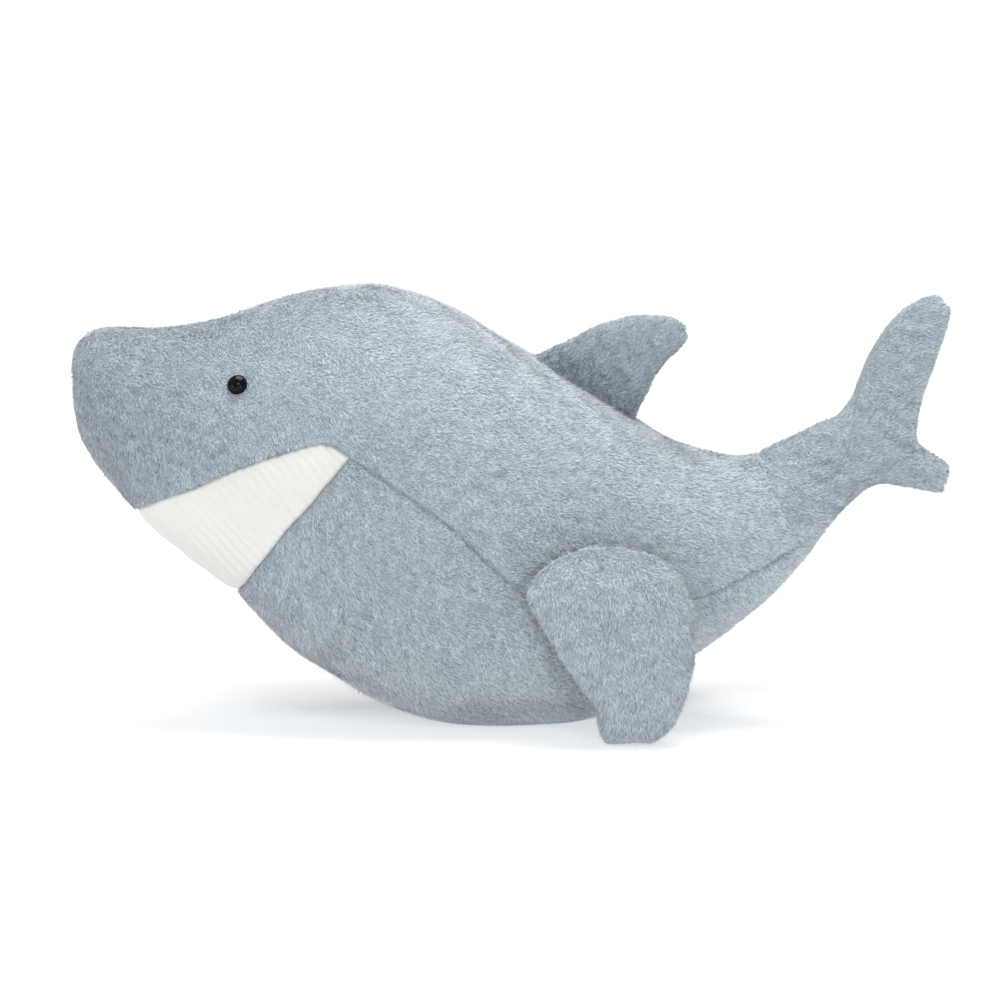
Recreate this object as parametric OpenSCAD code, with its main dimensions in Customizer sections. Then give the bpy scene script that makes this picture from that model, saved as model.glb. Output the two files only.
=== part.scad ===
// Soft toy shark: sewn pile panels over fibre filling, with safety eyes,
// a pellet pouch in the belly, three stuffed fins and a bending tail.
// Millimetres. +Z is up, the nose points to -X and the toy's left side is -Y.
// The origin is under the middle of the toy, on the floor it sits on.

/* [Fabric] */
// Thickness of the pile fabric
fabric = 1.6; // [1:0.1:2.4]
// Gap left in each sewn line between two panels
seam_gap = 0.3; // [0.2:0.05:0.5]
// Air between the fabric and the filling behind it
filling_gap = 1.2; // [1:0.1:2]

/* [Body] */
// Fullness of the body's cross-section, where 2 is an ellipse
body_fullness = 2.15; // [2:0.05:2.6]
// Scale of the body's width
body_width = 1; // [0.9:0.01:1.05]
// Facets from the back seam to the side seam
side_facets = 9; // [6:1:12]
// Facets from the middle of the belly to a side seam
belly_facets = 8; // [6:1:12]
// Facets from the upper to the lower lip
mouth_facets = 6; // [3:1:8]
// Facets round the filling
filling_facets = 32; // [24:4:48]

/* [Eyes] */
// Diameter of the eye dome
eye_d = 10.8; // [8:0.2:14]
// Height of the eye dome
eye_h = 4.6; // [3:0.2:6]
// Diameter of the eye post
post_d = 4; // [3:0.2:5]
// Length of the eye post behind the dome
post_l = 14; // [10:1:18]
// Diameter of the lock washer
washer_d = 15; // [12:1:18]
// Thickness of the lock washer
washer_t = 1.8; // [1.2:0.2:3]

/* [Pellet pouch] */
// Diameter of the pouch
pouch_d = 84; // [60:2:90]
// Thickness of the pouch
pouch_t = 30; // [20:2:34]
// Distance of the pouch behind the origin
pouch_x = 10; // [0:1:14]
// Height of the middle of the pouch
pouch_z = 21; // [20:0.5:24]

/* [Fins] */
// Radius of the round joint between body and tail
tail_joint_r = 22; // [20:0.5:23]
// Clearance at the line where the tail turns
turn_gap = 0.6; // [0.4:0.1:1]
// Facets of a fin from root to tip
fin_steps = 8; // [6:1:12]
// Facets of a fin from front to rear
fin_facets = 10; // [8:1:14]

/* [Hidden] */

LEFT = -1;
RIGHT = 1;
pile_colour = [0.62, 0.66, 0.70];
rib_colour = [0.94, 0.94, 0.91];
filling_colour = [0.97, 0.97, 0.96];
pouch_colour = [0.85, 0.83, 0.78];

// Sections of the body from nose to tail, each [back x, back z, belly x, belly z, half width].
body_rows = [
  [-240.4, 178.3, -240.4, 177.7, 0.3],
  [-241.2, 196, -237.3, 160, 22],
  [-238.6, 208.5, -230, 147, 35],
  [-230, 215.5, -217.8, 130, 45],
  [-214, 217, -206.5, 115, 53],
  [-193, 216.5, -182, 94.5, 61],
  [-166, 220.5, -152, 72, 69],
  [-136, 230, -121.2, 40.8, 77],
  [-105, 238.8, -91.5, 21.8, 82],
  [-72, 240.9, -58, 5, 85.5],
  [-38, 230, -22, -3.5, 86],
  [-6, 211.6, 12, -3, 83.5],
  [28, 190.5, 46, 3, 78],
  [61, 170, 80, 22, 69],
  [90, 153.5, 110, 44, 57],
  [115, 146.2, 141, 70, 44],
  [134, 148, 161, 91, 32],
  [153, 157.5, 178, 113.5, 22.3],
  [168, 164.5, 188, 124, 18]];
lip_row = 3.9;
mouth_end_row = 7.85;
corner_row = 8.32;
corner_angle = 76.8;

// Row at which each edge of the mouth crosses an angle from the back seam, as [angle, row].
upper_lip = [
  [73.6, 7.85], [75.3, 7.46], [79.7, 6.86], [87.4, 6.24], [98, 5.6], [118.8, 4.73], [150, 4.05], [180, 3.9]];
lower_lip = [
  [76.8, 8.32], [83.6, 7.99], [89.2, 7.69], [94.7, 7.37], [101.6, 7.05], [113, 6.71], [129.3, 6.37],
  [155, 6.07], [180, 5.95]];
// How round the mouth ends behind its highest point, where 1 is a straight end
end_roundness = 1.8;
// Angle from the back seam down to the side seam, as [row, angle].
side_seam = [
  [8.32, 76.8], [9.1, 83], [10, 89.5], [11.1, 101], [12.7, 108],
  [14.2, 115], [15.5, 124], [16.6, 146], [17.6, 150]];
// Angles at which the panels round the mouth share their corners.
mouth_angles = [74.2, 75.3, 76.8, 80.5, 85.5, 93.5, 104, 113, 124, 136, 150, 165, 180];

// The eyes sit at this row and angle.
eye_row = 6.42;
eye_angle = 51.8;
// Depth of the lock washer's outer face under the outside of the fabric
washer_depth = 3.8;

// Outline of the dorsal fin from root to tip, each row from its front to its rear edge.
dorsal_outline = [
  [[11, 0, 201.5], [67, 0, 168.2]],
  [[24, 0, 208.5], [70, 0, 176]],
  [[40, 0, 215.5], [73.5, 0, 184]],
  [[55, 0, 221], [78.5, 0, 192.5]],
  [[71, 0, 223.4], [85, 0, 200.5]],
  [[85, 0, 222.6], [91, 0, 206]],
  [[94, 0, 218], [95.5, 0, 211]]];
dorsal_thickness = [7.5, 8.4, 8.6, 8.2, 7.2, 5.8, 3.5];

// Outline of the left pectoral fin from root to tip, each row from its front to its rear edge.
fin_outline = [
  [[36, -88.3, 106.4], [60, -81.6, 106.4]],
  [[17, -96, 98.5], [80, -79, 99.5]],
  [[7, -101, 85], [91.5, -85, 88]],
  [[13, -101, 70], [96, -88, 73.5]],
  [[24, -99, 53], [98.5, -90, 56.5]],
  [[34.5, -96, 37], [97, -91, 39]],
  [[44.5, -94, 22], [91.5, -91, 22]],
  [[45.8, -92, 9.5], [84.8, -90, 9]],
  [[49.3, -91, 1], [76, -90, 1]]];
fin_thickness = [7, 11, 14.5, 16, 16.5, 16, 14, 11, 7];

// Points evenly spaced from a to b, as many as each row of the tail has.
function stem_row(a, b) = [for (i = [0 : 5]) a + (b - a) * i / 5];

// Outline of the tail from stem to trailing edge, each row from its top to its bottom edge.
tail_outline = [
  stem_row([134, 0, 148], [161, 0, 91]),
  stem_row([153, 0, 157.5], [178, 0, 113.5]),
  stem_row([168, 0, 164.5], [188, 0, 124]),
  [[181.5, 0, 171.5], [185, 0, 163.3], [188, 0, 155], [190.7, 0, 146.7], [193, 0, 138], [195, 0, 129.5]],
  [[190.5, 0, 192], [195, 0, 180.5], [198.5, 0, 168], [201, 0, 154.5], [203, 0, 142.5], [203.5, 0, 131.5]],
  [[199.5, 0, 209.5], [206, 0, 195], [209.5, 0, 176], [209.5, 0, 157], [213, 0, 141.5], [214, 0, 129.5]],
  [[211, 0, 226.5], [219, 0, 209], [219.5, 0, 184], [214.5, 0, 158], [223, 0, 142.5], [227.5, 0, 126.5]],
  [[230.7, 0, 236.3], [238.6, 0, 225.5], [230, 0, 195], [221, 0, 157.5], [238.7, 0, 141.5], [236, 0, 125.3]]];
tail_thickness = [32, 22.3, 18, 15, 12.5, 11, 9, 7];
// Half the angle that the tail keeps to behind its joint, so that it can turn
tail_wedge = 64;
tail_reach = 130;
joint_facets = 40;

tail_hinge_top = tail_outline[1][0];
tail_hinge_bottom = tail_outline[1][5];
tail_hinge = tail_hinge_top - tail_hinge_bottom;
tail_tilt = atan2(tail_hinge[0], tail_hinge[2]);

function mix(a, b, f) = a * (1 - f) + b * f;
function flat(grid) = [for (row = grid) each row];
function signed_pow(x, p) = sign(x) * pow(abs(x), p);
function clamp(x, low, high) = max(low, min(high, x));
function unit(v) = v / norm(v);
function swapped(table) = [for (i = [len(table) - 1 : -1 : 0]) [table[i][1], table[i][0]]];
function reversed(list) = [for (i = [len(list) - 1 : -1 : 0]) list[i]];
function mirrored(p, side) = [p[0], side * p[1], p[2]];

// A smooth curve through a list of numbers, points or rows, at position t in the list.
function at(list, i) = list[clamp(i, 0, len(list) - 1)];
function curve(list, t) =
  let (i = clamp(floor(t), 0, len(list) - 2),
       f = t - i,
       a = at(list, i - 1),
       b = at(list, i),
       c = at(list, i + 1),
       d = at(list, i + 2))
  b + 0.5 * f * (c - a + f * (2 * a - 5 * b + 4 * c - d + f * (3 * (b - c) + d - a)));

// A closed solid between two grids of points that share the order of their edges.
module between(outer, inner, flip = false) {
  m = len(outer);
  n = len(outer[0]);
  k = m * n;
  last = (m - 1) * n;
  faces = [
    for (i = [0 : m - 2], j = [0 : n - 2]) let (p = i * n + j) each [
      [p, p + 1, p + n + 1, p + n],
      [k + p, k + p + n, k + p + n + 1, k + p + 1]],
    for (i = [0 : m - 2]) let (p = i * n, q = p + n - 1) each [
      [p, p + n, k + p + n, k + p],
      [q + n, q, k + q, k + q + n]],
    for (j = [0 : n - 2]) let (q = last + j) each [
      [j + 1, j, k + j, k + j + 1],
      [q, q + 1, k + q + 1, k + q]]];
  triangles = [for (f = faces) each [[f[0], f[1], f[2]], [f[0], f[2], f[3]]]];
  polyhedron(flat(concat(outer, inner)), flip ? [for (t = triangles) reversed(t)] : triangles);
}

// A point of the body's outside, at a row and an angle from the back seam round the right side.
function body_skin(row, angle) =
  let (r = curve(body_rows, row),
       up = signed_pow(cos(angle), 2 / body_fullness),
       out = signed_pow(sin(angle), 2 / body_fullness),
       mid = mix([r[2], r[3]], [r[0], r[1]], (up + 1) / 2))
  [mid[0], body_width * r[4] * out, max(0, mid[1])];

// The direction out of the body there.
function body_normal(row, angle) =
  unit(cross(body_skin(row + 0.03, angle) - body_skin(max(0.01, row - 0.03), angle),
             body_skin(row, angle + 1.5) - body_skin(row, angle - 1.5)));

function body_point(row, angle, depth) = body_skin(row, angle) - depth * body_normal(row, angle);

// Half the seam gap as an angle round the body, and as a part of a row.
function gap_angle(row) = let (r = curve(body_rows, row)) 90 / PI * seam_gap / max(2, r[4]);
row_gap = seam_gap / 60;

// Angle at which a side panel ends, down to the chin, the upper lip, the mouth's end and the side seam.
function mouth_end_angle(row) =
  let (part = (row - mouth_end_row) / (corner_row - mouth_end_row))
  mix(upper_lip[0][0], corner_angle, pow(part, end_roundness));
function side_edge(row) =
  row < lip_row ? 180
  : row < mouth_end_row ? lookup(row, swapped(upper_lip))
  : row < corner_row ? mouth_end_angle(row)
  : lookup(row, side_seam);
function belly_edge(row) =
  row < corner_row ? lookup(row, swapped(lower_lip)) : lookup(row, side_seam);

nose_rows = [0, 0.15, 0.4, 0.7, 1, 1.5, 2, 2.7, 3.4];
upper_lip_rows = [for (a = reversed(mouth_angles)) lookup(a, upper_lip)];
lower_lip_rows = [for (a = reversed(mouth_angles)) if (a > corner_angle) lookup(a, lower_lip)];
mouth_end_rows = [mouth_end_row, 8, 8.15, 8.25];
back_rows = [corner_row, 8.9, 9.5, 10.1, 10.7, 11.4, 12.1, 12.8, 13.5, 14.2, 14.9, 15.5, 16, 16.5, 17, 17.6];
side_rows = concat(nose_rows, upper_lip_rows, mouth_end_rows, back_rows);
belly_rows = concat(lower_lip_rows, back_rows);
filling_rows = concat(nose_rows, [4, 4.7, 5.4, 6.2, 7, 7.7], back_rows);

// What lies behind the line where the tail turns: a round root and, behind it, a wedge that
// opens to this angle either side of straight back.
module behind_joint(radius, wedge) {
  reach = tail_reach;
  translate((tail_hinge_top + tail_hinge_bottom) / 2)
    rotate([0, tail_tilt, 0])
      linear_extrude(reach, center = true)
        polygon(concat(
          [for (i = [0 : joint_facets])
            let (a = mix(wedge, 360 - wedge, i / joint_facets))
              radius * [cos(a), sin(a)]],
          [reach * [cos(wedge), -sin(wedge)], [reach, -reach - 1], [reach, reach + 1],
           reach * [cos(wedge), sin(wedge)]]));
}

module in_front_of_tail() {
  difference() {
    children();
    behind_joint(tail_joint_r + turn_gap, 90);
  }
}

// Puts things on the skin where an eye sits, pointing out of the head.
module at_eye(side) {
  p = body_point(eye_row, eye_angle, 0);
  n = body_normal(eye_row, eye_angle);
  translate(mirrored(p, side))
    rotate([0, acos(n[2]), atan2(side * n[1], n[0])])
      children();
}

module side_panel(side) {
  angle = function(row, part) mix(gap_angle(row), side_edge(row) - gap_angle(row), part);
  grid = function(depth) [for (r = side_rows) [for (j = [0 : side_facets])
    mirrored(body_point(r, angle(r, j / side_facets), depth), side)]];
  in_front_of_tail()
    difference() {
      between(grid(0), grid(fabric), side == LEFT);
      at_eye(side)
        cylinder(d = post_d + seam_gap, h = 2 * post_l, center = true, $fn = 32);
    }
}

module side_panel_left() {
  color(pile_colour) side_panel(LEFT);
}

module side_panel_right() {
  color(pile_colour) side_panel(RIGHT);
}

module belly_panel() {
  grid = function(depth) [for (r = belly_rows) [for (j = [-belly_facets : belly_facets])
    let (edge = min(179, belly_edge(r) + gap_angle(r)))
      body_point(r, 180 + (180 - edge) * j / belly_facets, depth)]];
  color(pile_colour)
    in_front_of_tail()
      between(grid(0), grid(fabric));
}

// Row at which the mouth ends, at an angle between its highest point and its corner.
function mouth_end_row_at(a) =
  let (part = (a - upper_lip[0][0]) / (corner_angle - upper_lip[0][0]))
  mix(mouth_end_row, corner_row, pow(part, 1 / end_roundness));

module mouth_panel() {
  angles = concat(mouth_angles, [for (a = reversed(mouth_angles)) if (a < 180) 360 - a]);
  first_row = function(a) lookup(a, upper_lip) + row_gap;
  last_row = function(a) (a < corner_angle ? mouth_end_row_at(a) : lookup(a, lower_lip)) - row_gap;
  grid = function(depth) [for (i = [0 : mouth_facets]) [for (a = angles)
    let (half = min(a, 360 - a))
      body_point(mix(first_row(half), last_row(half), i / mouth_facets), a, depth)]];
  color(rib_colour)
    between(grid(0), grid(fabric));
}

module body_filling() {
  depth = fabric + filling_gap;
  angles = [for (j = [0 : filling_facets - 1]) 360 * j / filling_facets];
  rings = [for (r = filling_rows) [for (a = angles) body_point(r, a, depth)]];
  color(filling_colour)
    difference() {
      in_front_of_tail() solid_of_rings(rings);
      bean_pouch_shape(filling_gap);
      for (side = [LEFT, RIGHT])
        at_eye(side)
          translate([0, 0, -post_l - filling_gap])
            cylinder(d = washer_d + 2 * filling_gap, h = post_l + filling_gap, $fn = 48);
    }
}

// A solid skinned over a stack of closed rings, with a flat cap at each end.
module solid_of_rings(rings) {
  m = len(rings);
  n = len(rings[0]);
  sides = [for (i = [0 : m - 2], j = [0 : n - 1]) let (p = i * n + j, q = i * n + (j + 1) % n) each [
    [p, q, q + n], [p, q + n, p + n]]];
  polyhedron(
    flat(rings),
    concat(sides, [[for (j = [n - 1 : -1 : 0]) j], [for (j = [0 : n - 1]) (m - 1) * n + j]]));
}

module bean_pouch_shape(extra) {
  translate([pouch_x, 0, pouch_z])
    rotate_extrude($fn = 64)
      polygon([for (a = [-90 : 15 : 90]) [
        (pouch_d / 2 + extra) * cos(a), (pouch_t / 2 + extra) * sin(a)]]);
}

module bean_pouch() {
  color(pouch_colour) bean_pouch_shape(0);
}

module eye(side) {
  ball = (eye_d * eye_d / 4 + eye_h * eye_h) / (2 * eye_h);
  color("black")
    at_eye(side) {
      intersection() {
        translate([0, 0, eye_h - ball]) sphere(r = ball, $fn = 48);
        cylinder(d = eye_d, h = eye_h, $fn = 48);
      }
      translate([0, 0, -post_l]) cylinder(d = post_d, h = post_l + eye_h / 2, $fn = 32);
    }
}

module eye_left() {
  eye(LEFT);
}

module eye_right() {
  eye(RIGHT);
}

module eye_washer(side) {
  color("white")
    at_eye(side)
      translate([0, 0, -washer_depth - washer_t])
        difference() {
          cylinder(d = washer_d, h = washer_t, $fn = 48);
          translate([0, 0, -1]) cylinder(d = post_d + 0.1, h = washer_t + 2, $fn = 32);
        }
}

module eye_washer_left() {
  eye_washer(LEFT);
}

module eye_washer_right() {
  eye_washer(RIGHT);
}

// How much of its thickness a stuffed piece has left near its rounded ends, at a part f of its length.
function rounding(f, root, tip) =
  f < root ? sqrt(1 - pow(1 - f / root, 2))
  : f > 1 - tip ? sqrt(max(0, 1 - pow((f - 1 + tip) / tip, 2)))
  : 1;

// A point of a stuffed fin. f runs from root to tip, the angle runs from the front edge (0) over
// one face to the rear edge (180), and the depth is inwards from the outside of the fabric.
function fin_point(fin, f, angle, depth, face) =
  let (outline = fin[0],
       thickness = fin[1],
       s = mix(depth * fin[4], len(outline) - 1 - depth * fin[5], f),
       row = curve(outline, s),
       across = row[len(row) - 1] - row[0],
       ahead = curve(outline, s + 0.05) - curve(outline, s - 0.05),
       n = unit(cross(across, ahead[0] + ahead[len(ahead) - 1])),
       inset = 0.5 - depth / norm(across),
       mid = curve(row, (0.5 - inset * signed_pow(cos(angle), 2 / body_fullness)) * (len(row) - 1)),
       crown = pow(sin(angle), 2 / body_fullness) * rounding(f, fin[2], fin[3]),
       p = mid + face * max(seam_gap / 2, (curve(thickness, s) - depth) * crown) * n)
  [p[0], p[1], max(p[2], depth)];

// Each fin is [outline, thickness, rounded part at root and tip, rows per mm of depth at root and tip].
dorsal_fin = [dorsal_outline, dorsal_thickness, 0.12, 0.2, 0.08, 0.09];
pectoral_fin = [fin_outline, fin_thickness, 0.12, 0.1, 0.12, 0.13];
tail_fin = [tail_outline, tail_thickness, 0, 0.1, 0, 0.06];

// The parts of a fin's length at its rows of facets, closer together at its two rounded ends.
rounded_end = [0, 0.02, 0.06];
fin_parts = let (last = rounded_end[len(rounded_end) - 1])
  concat(rounded_end,
         [for (i = [1 : fin_steps - 1]) mix(last, 1 - last, i / fin_steps)],
         [for (part = reversed(rounded_end)) 1 - part]);

function fin_face(fin, depth, face) =
  [for (f = fin_parts) [for (j = [0 : fin_facets]) fin_point(fin, f, 180 * j / fin_facets, depth, face)]];

module fin_panel(fin, face) {
  between(fin_face(fin, 0, face), fin_face(fin, fabric, face), face == RIGHT);
}

module fin_filling(fin) {
  depth = fabric + filling_gap;
  between(fin_face(fin, depth, LEFT), fin_face(fin, depth, RIGHT));
}

module dorsal_fin_left_panel() {
  color(pile_colour) fin_panel(dorsal_fin, RIGHT);
}

module dorsal_fin_right_panel() {
  mirror([0, 1, 0]) dorsal_fin_left_panel();
}

module dorsal_fin_filling() {
  color(filling_colour) fin_filling(dorsal_fin);
}

module left_fin_outer_panel() {
  color(pile_colour) fin_panel(pectoral_fin, LEFT);
}

module left_fin_inner_panel() {
  color(pile_colour) fin_panel(pectoral_fin, RIGHT);
}

module left_fin_filling() {
  color(filling_colour) fin_filling(pectoral_fin);
}

module right_fin_outer_panel() {
  mirror([0, 1, 0]) left_fin_outer_panel();
}

module right_fin_inner_panel() {
  mirror([0, 1, 0]) left_fin_inner_panel();
}

module right_fin_filling() {
  mirror([0, 1, 0]) left_fin_filling();
}

// Keeps what turns with the tail. The resize changes no size: it has the cut made on the mesh, which closes it.
module behind_tail_line(radius) {
  resize([0, 0, 0])
    intersection() {
      children();
      behind_joint(radius, tail_wedge);
    }
}

module tail_left_panel() {
  color(pile_colour) behind_tail_line(tail_joint_r) fin_panel(tail_fin, RIGHT);
}

module tail_right_panel() {
  mirror([0, 1, 0]) tail_left_panel();
}

module tail_filling() {
  color(filling_colour) behind_tail_line(tail_joint_r - filling_gap) fin_filling(tail_fin);
}

side_panel_left();
side_panel_right();
belly_panel();
mouth_panel();
body_filling();
bean_pouch();
eye_left();
eye_right();
eye_washer_left();
eye_washer_right();
dorsal_fin_left_panel();
dorsal_fin_right_panel();
dorsal_fin_filling();
left_fin_outer_panel();
left_fin_inner_panel();
left_fin_filling();
right_fin_outer_panel();
right_fin_inner_panel();
right_fin_filling();
tail_left_panel();
tail_right_panel();
tail_filling();
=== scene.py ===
"""Soft toy shark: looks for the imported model. Lengths are millimetres until a mesh is made in metres."""

import math

import bpy
import numpy as np
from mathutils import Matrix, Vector, kdtree


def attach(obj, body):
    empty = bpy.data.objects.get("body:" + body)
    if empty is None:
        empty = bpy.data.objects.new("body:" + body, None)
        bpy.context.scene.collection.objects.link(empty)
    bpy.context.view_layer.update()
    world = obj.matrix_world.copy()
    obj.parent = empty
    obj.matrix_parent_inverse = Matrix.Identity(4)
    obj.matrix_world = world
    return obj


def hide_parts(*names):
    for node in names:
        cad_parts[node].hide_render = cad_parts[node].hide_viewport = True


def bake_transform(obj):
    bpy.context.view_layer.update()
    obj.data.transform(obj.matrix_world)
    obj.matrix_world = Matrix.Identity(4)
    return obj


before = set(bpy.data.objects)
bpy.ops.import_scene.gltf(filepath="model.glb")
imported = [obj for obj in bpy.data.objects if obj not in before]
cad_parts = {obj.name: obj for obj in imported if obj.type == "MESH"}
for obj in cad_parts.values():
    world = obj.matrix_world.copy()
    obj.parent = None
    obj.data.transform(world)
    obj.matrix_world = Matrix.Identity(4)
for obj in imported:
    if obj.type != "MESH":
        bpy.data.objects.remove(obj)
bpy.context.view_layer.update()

MM = 0.001
LEFT, RIGHT = -1, 1

# ---------------------------------------------------------------------------------------------
# The toy's form, as in the CAD source
# ---------------------------------------------------------------------------------------------

# Power of the rounded sections: 1 is an ellipse and less is fuller.
FULLNESS = 2 / 2.15
# Sections of the body from nose to tail: back x, back z, belly x, belly z, half width. Places on
# the body are a row, which counts these sections from 0, and an angle in degrees from the back.
BODY_ROWS = np.array(
    [
        [-240.4, 178.3, -240.4, 177.7, 0.3],
        [-241.2, 196, -237.3, 160, 22],
        [-238.6, 208.5, -230, 147, 35],
        [-230, 215.5, -217.8, 130, 45],
        [-214, 217, -206.5, 115, 53],
        [-193, 216.5, -182, 94.5, 61],
        [-166, 220.5, -152, 72, 69],
        [-136, 230, -121.2, 40.8, 77],
        [-105, 238.8, -91.5, 21.8, 82],
        [-72, 240.9, -58, 5, 85.5],
        [-38, 230, -22, -3.5, 86],
        [-6, 211.6, 12, -3, 83.5],
        [28, 190.5, 46, 3, 78],
        [61, 170, 80, 22, 69],
        [90, 153.5, 110, 44, 57],
        [115, 146.2, 141, 70, 44],
        [134, 148, 161, 91, 32],
        [153, 157.5, 178, 113.5, 22.3],
        [168, 164.5, 188, 124, 18],
    ]
)
# The mouth begins under the nose, turns down at its end and has its corner on the side seam.
LIP_ROW = 3.9
MOUTH_END_ROW = 7.85
CORNER_ROW = 8.32
CORNER_ANGLE = 76.8
END_ROUNDNESS = 1.8
NOSE_ROW = 0.3
TAIL_ROW = 16
EYE_ROW, EYE_ANGLE = 6.42, 51.8
EYE_RADIUS, EYE_HEIGHT, EYE_SUNK = 5.6, 4.4, 1.8
# Edges of the mouth: angle, row.
UPPER_LIP = np.array(
    [
        [73.6, 7.85],
        [75.3, 7.46],
        [79.7, 6.86],
        [87.4, 6.24],
        [98, 5.6],
        [118.8, 4.73],
        [150, 4.05],
        [180, 3.9],
    ]
)
LOWER_LIP = np.array(
    [
        [76.8, 8.32],
        [83.6, 7.99],
        [89.2, 7.69],
        [94.7, 7.37],
        [101.6, 7.05],
        [113, 6.71],
        [129.3, 6.37],
        [155, 6.07],
        [180, 5.95],
    ]
)
# Side seam behind the mouth: row, angle.
SIDE_SEAM = np.array(
    [
        [8.32, 76.8],
        [9.1, 83],
        [10, 89.5],
        [11.1, 101],
        [12.7, 108],
        [14.2, 115],
        [15.5, 124],
        [16.6, 146],
        [17.6, 150],
    ]
)

# A fin is its outline from root to tip (each row from front to rear), its half thickness at each
# row, the parts of its length that are rounded at its root and tip, and the share by which its tip
# narrows from CORNERS_FROM on, which rounds its corners.
DORSAL = {
    "outline": np.array(
        [
            [[11, 0, 201.5], [67, 0, 168.2]],
            [[24, 0, 208.5], [70, 0, 176]],
            [[40, 0, 215.5], [73.5, 0, 184]],
            [[55, 0, 221], [78.5, 0, 192.5]],
            [[71, 0, 223.4], [85, 0, 200.5]],
            [[85, 0, 222.6], [91, 0, 206]],
            [[94, 0, 218], [95.5, 0, 211]],
        ],
        float,
    ),
    "thickness": np.array([7.5, 8.4, 8.6, 8.2, 7.2, 5.8, 3.5]),
    "rounding": (0, 0.2),
    "corners": 0,
}
PECTORAL = {
    "outline": np.array(
        [
            [[36, -88.3, 106.4], [60, -81.6, 106.4]],
            [[17, -96, 98.5], [80, -79, 99.5]],
            [[7, -101, 85], [91.5, -85, 88]],
            [[13, -101, 70], [96, -88, 73.5]],
            [[24, -99, 53], [98.5, -90, 56.5]],
            [[34.5, -96, 37], [97, -91, 39]],
            [[44.5, -94, 22], [91.5, -91, 22]],
            [[45.8, -92, 9.5], [84.8, -90, 9]],
            [[49.3, -91, 1], [76, -90, 1]],
        ],
        float,
    ),
    "thickness": np.array([7, 11, 14.5, 16, 16.5, 16, 14, 11, 7]),
    "rounding": (0.12, 0.1),
    "corners": 0.22,
}


def flat_row(*points):
    """A row of points in the toy's middle plane, from their x and z."""
    return np.array([(x, 0, z) for x, z in points])


def stem_row(a, b):
    """Points evenly spaced from a to b in the middle plane, as many as each row of the tail has."""
    return flat_row(*np.linspace(a, b, 6))


TAIL = {
    "outline": np.array(
        [
            stem_row((134, 148), (161, 91)),
            stem_row((153, 157.5), (178, 113.5)),
            stem_row((168, 164.5), (188, 124)),
            flat_row((181.5, 171.5), (185, 163.3), (188, 155), (190.7, 146.7), (193, 138), (195, 129.5)),
            flat_row((190.5, 192), (195, 180.5), (198.5, 168), (201, 154.5), (203, 142.5), (203.5, 131.5)),
            flat_row((199.5, 209.5), (206, 195), (209.5, 176), (209.5, 157), (213, 141.5), (214, 129.5)),
            flat_row((211, 226.5), (219, 209), (219.5, 184), (214.5, 158), (223, 142.5), (227.5, 126.5)),
            flat_row((230.7, 236.3), (238.6, 225.5), (230, 195), (221, 157.5), (238.7, 141.5), (236, 125.3)),
        ]
    ),
    "thickness": np.array([32, 22.3, 18, 15, 12.5, 11, 9, 7]),
    "rounding": (0, 0.1),
    "corners": 0.06,
}
CORNERS_FROM = 0.93
THINNEST_ROOT = 0.45
# The tail bends between two points, this far to either side of its hinge along the stem.
HINGE = np.array([165.5, 0, 135.5])
STEM = np.array([0.8695, 0, 0.494])
BEND_REACH = 25
BEND_START, BEND_END = (HINGE - BEND_REACH * STEM) * MM, (HINGE + BEND_REACH * STEM) * MM


def cubic(a, b, c, d, f):
    """The smooth curve through four neighbours, a part f of the way from b to c."""
    return b + 0.5 * f * (c - a + f * (2 * a - 5 * b + 4 * c - d + f * (3 * (b - c) + d - a)))


def curve(table, t):
    """Smooth curve through a table's rows, at the positions t."""
    t = np.asarray(t, float)
    last = len(table) - 1
    i = np.clip(np.floor(t), 0, last - 1).astype(int)
    f = (t - i).reshape(t.shape + (1,) * (table.ndim - 1))
    near = [table[np.clip(i + k, 0, last)] for k in (-1, 0, 1, 2)]
    return cubic(*near, f)


def across(rows, t):
    """Smooth curve through the points of each row, rows[..., point, xyz], at the positions t."""
    last = rows.shape[-2] - 1
    i = np.clip(np.floor(t), 0, last - 1).astype(int)
    near = [
        np.take_along_axis(rows, np.clip(i + k, 0, last)[..., None, None], axis=-2)[..., 0, :]
        for k in (-1, 0, 1, 2)
    ]
    return cubic(*near, (t - i)[..., None])


def smooth_line(table):
    """Many points along a table's smooth curve."""
    return curve(table, np.linspace(0, len(table) - 1, 400))


def signed_pow(x, p):
    return np.sign(x) * np.abs(x) ** p


def unit(v):
    return v / np.maximum(np.linalg.norm(v, axis=-1, keepdims=True), 1e-9)


def step(low, high, x):
    """0 below low, 1 above high, smooth between."""
    t = np.clip((x - low) / (high - low), 0, 1)
    return t * t * (3 - 2 * t)


def waves(points, size, seed):
    """Smooth noise, mostly from -1 to 1, with bumps of about this size in mm: ten crossing waves."""
    rng = np.random.default_rng(seed)
    count = 10
    directions = unit(rng.normal(size=(count, 3)))
    rates = directions * (2 * math.pi / (size * rng.uniform(1.3, 2.8, (count, 1))))
    total = np.zeros(points.shape[:-1])
    for rate in rates:
        total += np.sin(points @ rate + rng.uniform(0, 2 * math.pi))
    return total / math.sqrt(count / 2) / 1.5


def body_skin(row, angle):
    """Points of the body's outside at these rows and angles round from the back seam, +Y side."""
    r = curve(BODY_ROWS, row)
    up = signed_pow(np.cos(np.radians(angle)), FULLNESS)
    out = signed_pow(np.sin(np.radians(angle)), FULLNESS)
    share = ((up + 1) / 2)[..., None]
    middle = r[..., 2:4] * (1 - share) + r[..., 0:2] * share
    return np.stack([middle[..., 0], r[..., 4] * out, np.maximum(0, middle[..., 1])], -1)


LIP_ABOVE, LIP_BELOW, SEAM_LINE = (smooth_line(table) for table in (UPPER_LIP, LOWER_LIP, SIDE_SEAM))


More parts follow.
